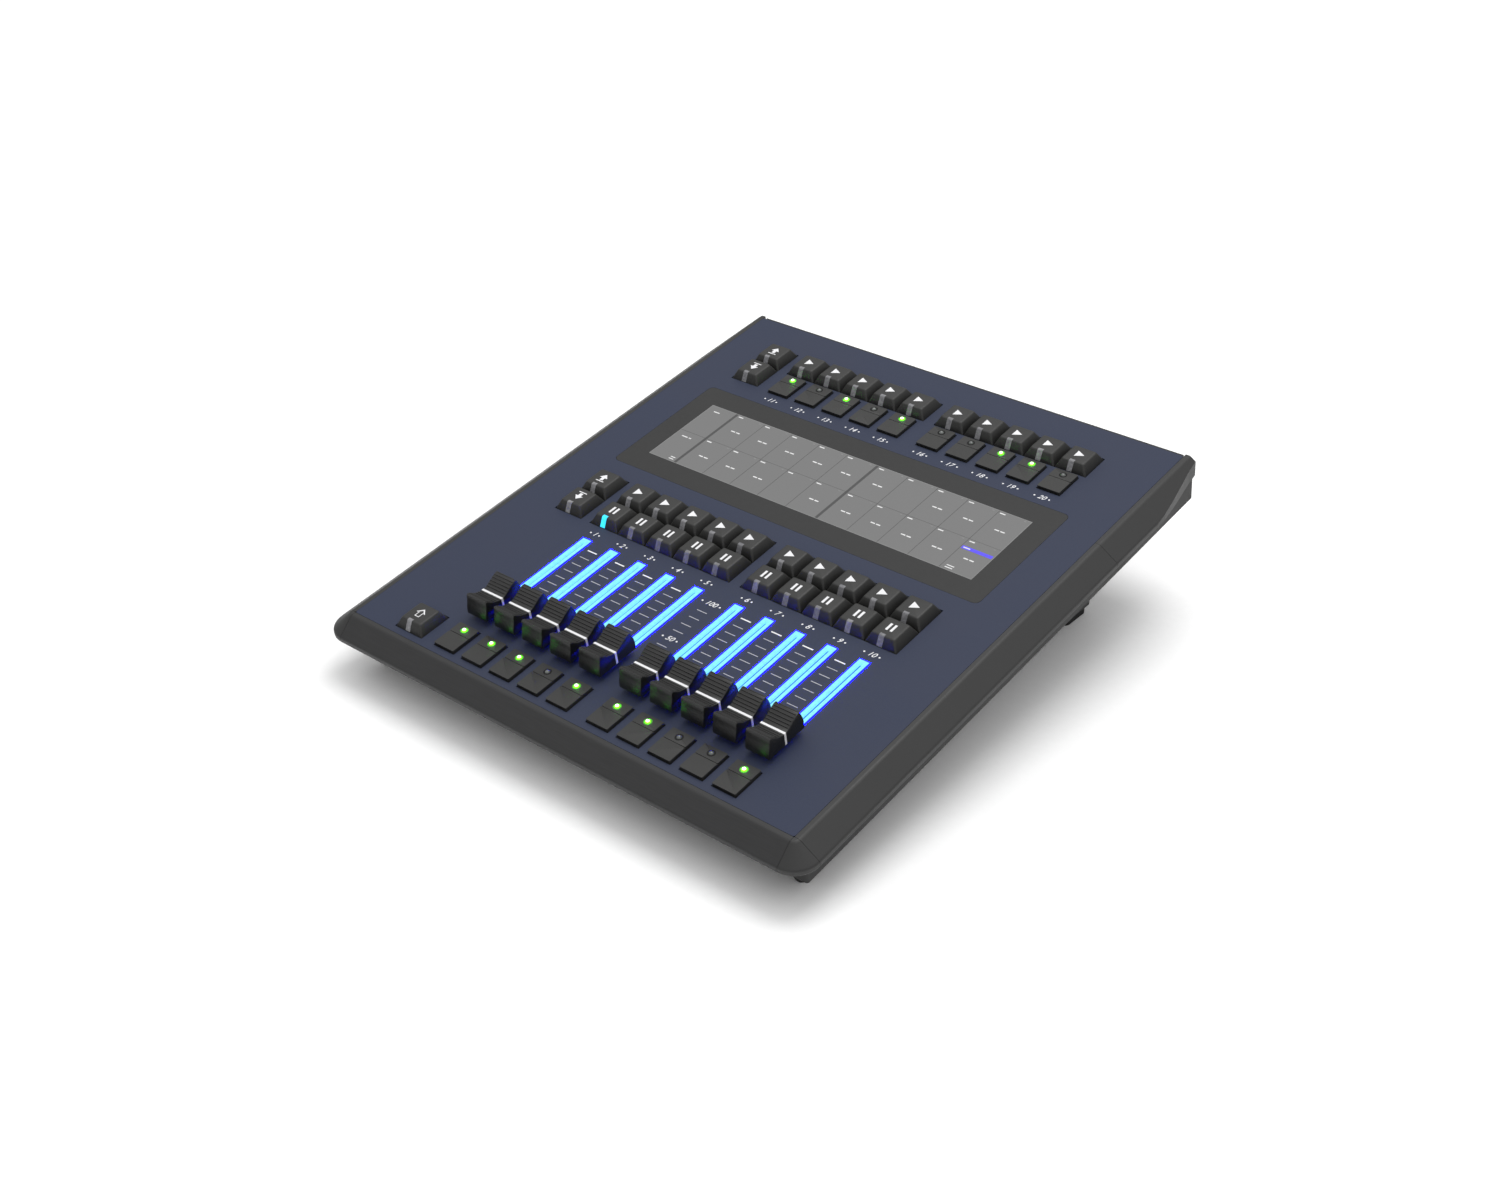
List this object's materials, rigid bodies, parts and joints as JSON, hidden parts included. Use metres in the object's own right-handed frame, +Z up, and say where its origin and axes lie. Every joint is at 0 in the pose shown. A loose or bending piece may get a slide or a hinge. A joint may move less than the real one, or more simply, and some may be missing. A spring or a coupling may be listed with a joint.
{
  "type": "lighting control desk",
  "caption": "Sloping desktop control surface for stage lighting, with lit faders, executor keys with light pipes, page keys and a strip display.",
  "frame": {"origin": "on the floor, under the middle of the desk's plan", "axes": "+X to the operator's right, +Y away from the operator, +Z up; the panel slopes up to the back by 8.7 degrees"},
  "size_m": [0.3078, 0.3409, 0.0857],
  "materials": {
    "panel_blue": "dark slate-blue powder coat, satin, fine texture",
    "front_trim": "black anodised extrusion, satin",
    "corner_caps": "moulded dark grey, fine grain",
    "side_trim": "moulded dark grey, fine grain",
    "tray": "black powder coat",
    "screen_glass": "smoked grey window, low gloss",
    "display": "lit grey liquid crystal display",
    "fader_track": "plated",
    "light_bar": "clear light guide, lit cyan to blue",
    "circuit_board": "green solder mask",
    "key_switch": "black moulded housing",
    "button_switch": "tact switch",
    "led": "green lens",
    "socket_shell": "tinned shell",
    "power_socket": "black moulded",
    "foot_rubber": "matte black rubber",
    "leg": "moulded black, fine grain",
    "screw": "black oxide",
    "fader_cap": "moulded charcoal, ribbed, white centre line",
    "key_cap": "moulded charcoal, fine grain, white symbol",
    "button_cap": "moulded charcoal, fine grain"
  },
  "bodies": {
    "desk": {"top_panel": "panel_blue", "front_trim": "front_trim", "corner_caps": "corner_caps", "side_trim_left": "side_trim", "side_trim_right": "side_trim", "rear_trim_left": "side_trim", "rear_trim_right": "side_trim", "base_tray": "tray", "screen_glass": "screen_glass", "display_module": "display", "fader_tracks": "fader_track", "light_bars": "light_bar", "control_board": "circuit_board", "key_switches": "key_switch", "button_switches": "button_switch", "status_leds": "led", "network_socket": "socket_shell", "power_socket": "power_socket", "feet": "foot_rubber", "rear_legs": "leg", "screws": "screw"},
    "fader_1": {"fader_1": "fader_cap"},
    "fader_2": {"fader_2": "fader_cap"},
    "fader_3": {"fader_3": "fader_cap"},
    "fader_4": {"fader_4": "fader_cap"},
    "fader_5": {"fader_5": "fader_cap"},
    "fader_6": {"fader_6": "fader_cap"},
    "fader_7": {"fader_7": "fader_cap"},
    "fader_8": {"fader_8": "fader_cap"},
    "fader_9": {"fader_9": "fader_cap"},
    "fader_10": {"fader_10": "fader_cap"},
    "play_key_1": {"play_key_1": "key_cap"},
    "play_key_2": {"play_key_2": "key_cap"},
    "play_key_3": {"play_key_3": "key_cap"},
    "play_key_4": {"play_key_4": "key_cap"},
    "play_key_5": {"play_key_5": "key_cap"},
    "play_key_6": {"play_key_6": "key_cap"},
    "play_key_7": {"play_key_7": "key_cap"},
    "play_key_8": {"play_key_8": "key_cap"},
    "play_key_9": {"play_key_9": "key_cap"},
    "play_key_10": {"play_key_10": "key_cap"},
    "pause_key_1": {"pause_key_1": "key_cap"},
    "pause_key_2": {"pause_key_2": "key_cap"},
    "pause_key_3": {"pause_key_3": "key_cap"},
    "pause_key_4": {"pause_key_4": "key_cap"},
    "pause_key_5": {"pause_key_5": "key_cap"},
    "pause_key_6": {"pause_key_6": "key_cap"},
    "pause_key_7": {"pause_key_7": "key_cap"},
    "pause_key_8": {"pause_key_8": "key_cap"},
    "pause_key_9": {"pause_key_9": "key_cap"},
    "pause_key_10": {"pause_key_10": "key_cap"},
    "page_up_upper": {"page_up_upper": "key_cap"},
    "page_down_upper": {"page_down_upper": "key_cap"},
    "page_up_lower": {"page_up_lower": "key_cap"},
    "page_down_lower": {"page_down_lower": "key_cap"},
    "shift_key": {"shift_key": "key_cap"},
    "executor_keys_left": {"executor_keys_left": "key_cap"},
    "executor_keys_right": {"executor_keys_right": "key_cap"},
    "flash_buttons": {"flash_buttons": "button_cap"},
    "select_buttons": {"select_buttons": "button_cap"}
  },
  "joints": [
    {"name": "fader_1_slide", "type": "slide", "parent": "desk", "child": "fader_1", "axis": [0, 0.9885, 0.1513], "range_m": [0, 0.06]},
    {"name": "fader_2_slide", "type": "slide", "parent": "desk", "child": "fader_2", "axis": [0, 0.9885, 0.1513], "range_m": [0, 0.06]},
    {"name": "fader_3_slide", "type": "slide", "parent": "desk", "child": "fader_3", "axis": [0, 0.9885, 0.1513], "range_m": [0, 0.06]},
    {"name": "fader_4_slide", "type": "slide", "parent": "desk", "child": "fader_4", "axis": [0, 0.9885, 0.1513], "range_m": [0, 0.06]},
    {"name": "fader_5_slide", "type": "slide", "parent": "desk", "child": "fader_5", "axis": [0, 0.9885, 0.1513], "range_m": [0, 0.06]},
    {"name": "fader_6_slide", "type": "slide", "parent": "desk", "child": "fader_6", "axis": [0, 0.9885, 0.1513], "range_m": [0, 0.06]},
    {"name": "fader_7_slide", "type": "slide", "parent": "desk", "child": "fader_7", "axis": [0, 0.9885, 0.1513], "range_m": [0, 0.06]},
    {"name": "fader_8_slide", "type": "slide", "parent": "desk", "child": "fader_8", "axis": [0, 0.9885, 0.1513], "range_m": [0, 0.06]},
    {"name": "fader_9_slide", "type": "slide", "parent": "desk", "child": "fader_9", "axis": [0, 0.9885, 0.1513], "range_m": [0, 0.06]},
    {"name": "fader_10_slide", "type": "slide", "parent": "desk", "child": "fader_10", "axis": [0, 0.9885, 0.1513], "range_m": [0, 0.06]},
    {"name": "play_key_1_press", "type": "slide", "parent": "desk", "child": "play_key_1", "axis": [0, 0.1513, -0.9885], "range_m": [0, 0.0022], "stiffness_N_per_m": 200, "springref_m": -0.002},
    {"name": "play_key_2_press", "type": "slide", "parent": "desk", "child": "play_key_2", "axis": [0, 0.1513, -0.9885], "range_m": [0, 0.0022], "stiffness_N_per_m": 200, "springref_m": -0.002},
    {"name": "play_key_3_press", "type": "slide", "parent": "desk", "child": "play_key_3", "axis": [0, 0.1513, -0.9885], "range_m": [0, 0.0022], "stiffness_N_per_m": 200, "springref_m": -0.002},
    {"name": "play_key_4_press", "type": "slide", "parent": "desk", "child": "play_key_4", "axis": [0, 0.1513, -0.9885], "range_m": [0, 0.0022], "stiffness_N_per_m": 200, "springref_m": -0.002},
    {"name": "play_key_5_press", "type": "slide", "parent": "desk", "child": "play_key_5", "axis": [0, 0.1513, -0.9885], "range_m": [0, 0.0022], "stiffness_N_per_m": 200, "springref_m": -0.002},
    {"name": "play_key_6_press", "type": "slide", "parent": "desk", "child": "play_key_6", "axis": [0, 0.1513, -0.9885], "range_m": [0, 0.0022], "stiffness_N_per_m": 200, "springref_m": -0.002},
    {"name": "play_key_7_press", "type": "slide", "parent": "desk", "child": "play_key_7", "axis": [0, 0.1513, -0.9885], "range_m": [0, 0.0022], "stiffness_N_per_m": 200, "springref_m": -0.002},
    {"name": "play_key_8_press", "type": "slide", "parent": "desk", "child": "play_key_8", "axis": [0, 0.1513, -0.9885], "range_m": [0, 0.0022], "stiffness_N_per_m": 200, "springref_m": -0.002},
    {"name": "play_key_9_press", "type": "slide", "parent": "desk", "child": "play_key_9", "axis": [0, 0.1513, -0.9885], "range_m": [0, 0.0022], "stiffness_N_per_m": 200, "springref_m": -0.002},
    {"name": "play_key_10_press", "type": "slide", "parent": "desk", "child": "play_key_10", "axis": [0, 0.1513, -0.9885], "range_m": [0, 0.0022], "stiffness_N_per_m": 200, "springref_m": -0.002},
    {"name": "pause_key_1_press", "type": "slide", "parent": "desk", "child": "pause_key_1", "axis": [0, 0.1513, -0.9885], "range_m": [0, 0.0022], "stiffness_N_per_m": 200, "springref_m": -0.002},
    {"name": "pause_key_2_press", "type": "slide", "parent": "desk", "child": "pause_key_2", "axis": [0, 0.1513, -0.9885], "range_m": [0, 0.0022], "stiffness_N_per_m": 200, "springref_m": -0.002},
    {"name": "pause_key_3_press", "type": "slide", "parent": "desk", "child": "pause_key_3", "axis": [0, 0.1513, -0.9885], "range_m": [0, 0.0022], "stiffness_N_per_m": 200, "springref_m": -0.002},
    {"name": "pause_key_4_press", "type": "slide", "parent": "desk", "child": "pause_key_4", "axis": [0, 0.1513, -0.9885], "range_m": [0, 0.0022], "stiffness_N_per_m": 200, "springref_m": -0.002},
    {"name": "pause_key_5_press", "type": "slide", "parent": "desk", "child": "pause_key_5", "axis": [0, 0.1513, -0.9885], "range_m": [0, 0.0022], "stiffness_N_per_m": 200, "springref_m": -0.002},
    {"name": "pause_key_6_press", "type": "slide", "parent": "desk", "child": "pause_key_6", "axis": [0, 0.1513, -0.9885], "range_m": [0, 0.0022], "stiffness_N_per_m": 200, "springref_m": -0.002},
    {"name": "pause_key_7_press", "type": "slide", "parent": "desk", "child": "pause_key_7", "axis": [0, 0.1513, -0.9885], "range_m": [0, 0.0022], "stiffness_N_per_m": 200, "springref_m": -0.002},
    {"name": "pause_key_8_press", "type": "slide", "parent": "desk", "child": "pause_key_8", "axis": [0, 0.1513, -0.9885], "range_m": [0, 0.0022], "stiffness_N_per_m": 200, "springref_m": -0.002},
    {"name": "pause_key_9_press", "type": "slide", "parent": "desk", "child": "pause_key_9", "axis": [0, 0.1513, -0.9885], "range_m": [0, 0.0022], "stiffness_N_per_m": 200, "springref_m": -0.002},
    {"name": "pause_key_10_press", "type": "slide", "parent": "desk", "child": "pause_key_10", "axis": [0, 0.1513, -0.9885], "range_m": [0, 0.0022], "stiffness_N_per_m": 200, "springref_m": -0.002},
    {"name": "page_up_upper_press", "type": "slide", "parent": "desk", "child": "page_up_upper", "axis": [0, 0.1513, -0.9885], "range_m": [0, 0.0022], "stiffness_N_per_m": 200, "springref_m": -0.002},
    {"name": "page_down_upper_press", "type": "slide", "parent": "desk", "child": "page_down_upper", "axis": [0, 0.1513, -0.9885], "range_m": [0, 0.0022], "stiffness_N_per_m": 200, "springref_m": -0.002},
    {"name": "page_up_lower_press", "type": "slide", "parent": "desk", "child": "page_up_lower", "axis": [0, 0.1513, -0.9885], "range_m": [0, 0.0022], "stiffness_N_per_m": 200, "springref_m": -0.002},
    {"name": "page_down_lower_press", "type": "slide", "parent": "desk", "child": "page_down_lower", "axis": [0, 0.1513, -0.9885], "range_m": [0, 0.0022], "stiffness_N_per_m": 200, "springref_m": -0.002},
    {"name": "shift_key_press", "type": "slide", "parent": "desk", "child": "shift_key", "axis": [0, 0.1513, -0.9885], "range_m": [0, 0.0022], "stiffness_N_per_m": 200, "springref_m": -0.002},
    {"name": "executor_keys_left_press", "type": "slide", "parent": "desk", "child": "executor_keys_left", "axis": [0, 0.1513, -0.9885], "range_m": [0, 0.0022], "stiffness_N_per_m": 200, "springref_m": -0.002},
    {"name": "executor_keys_right_press", "type": "slide", "parent": "desk", "child": "executor_keys_right", "axis": [0, 0.1513, -0.9885], "range_m": [0, 0.0022], "stiffness_N_per_m": 200, "springref_m": -0.002},
    {"name": "flash_buttons_press", "type": "slide", "parent": "desk", "child": "flash_buttons", "axis": [0, 0.1513, -0.9885], "range_m": [0, 0.001], "stiffness_N_per_m": 600, "springref_m": -0.001},
    {"name": "select_buttons_press", "type": "slide", "parent": "desk", "child": "select_buttons", "axis": [0, 0.1513, -0.9885], "range_m": [0, 0.001], "stiffness_N_per_m": 600, "springref_m": -0.001}
  ]
}
